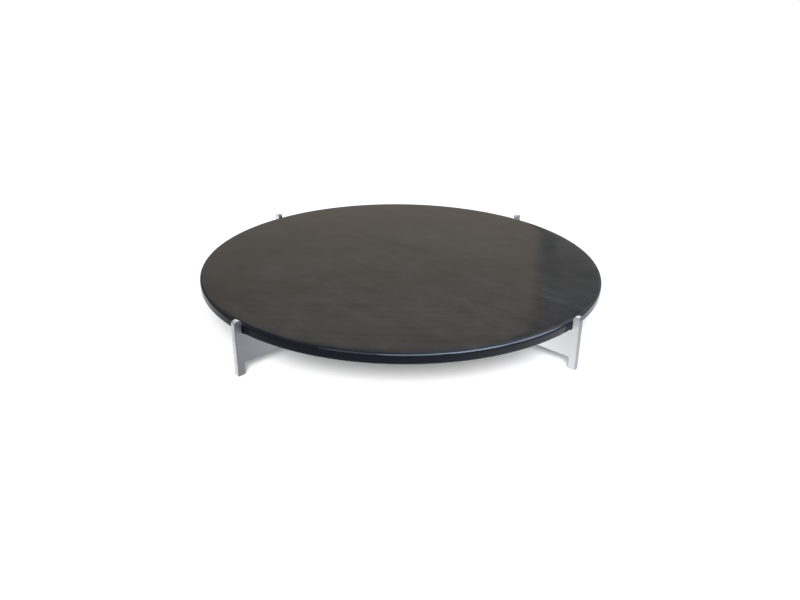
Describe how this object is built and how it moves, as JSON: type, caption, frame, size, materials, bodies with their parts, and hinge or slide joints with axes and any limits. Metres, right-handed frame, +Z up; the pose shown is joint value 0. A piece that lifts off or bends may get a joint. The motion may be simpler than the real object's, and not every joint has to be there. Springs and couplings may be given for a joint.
{
  "type": "round stone slab on a cross stand",
  "caption": "Round thin basalt slab with softly rounded edges, resting on a low cross stand of two slotted metal plates whose end posts hold it by the rim.",
  "frame": {"origin": "on the table, under the centre of the slab and of the crossing", "axes": "+Z up through the middle of the slab, +X along the lower plate, +Y along the upper plate"},
  "size_m": [0.4148, 0.4148, 0.051],
  "materials": {
    "stand_metal": "satin, edges eased",
    "basalt": "polished face and rim, sawn underside"
  },
  "bodies": {
    "lower_plate": {"lower_cross_plate": "stand_metal"},
    "upper_plate": {"upper_cross_plate": "stand_metal"},
    "slab": {"stone_slab": "basalt"}
  },
  "joints": [
    {"name": "upper_plate_lift", "type": "slide", "parent": "lower_plate", "child": "upper_plate", "axis": [0, 0, 1], "range_m": [0, 0.06]},
    {"name": "slab_lift", "type": "slide", "parent": "upper_plate", "child": "slab", "axis": [0, 0, 1], "range_m": [0, 0.06]}
  ]
}
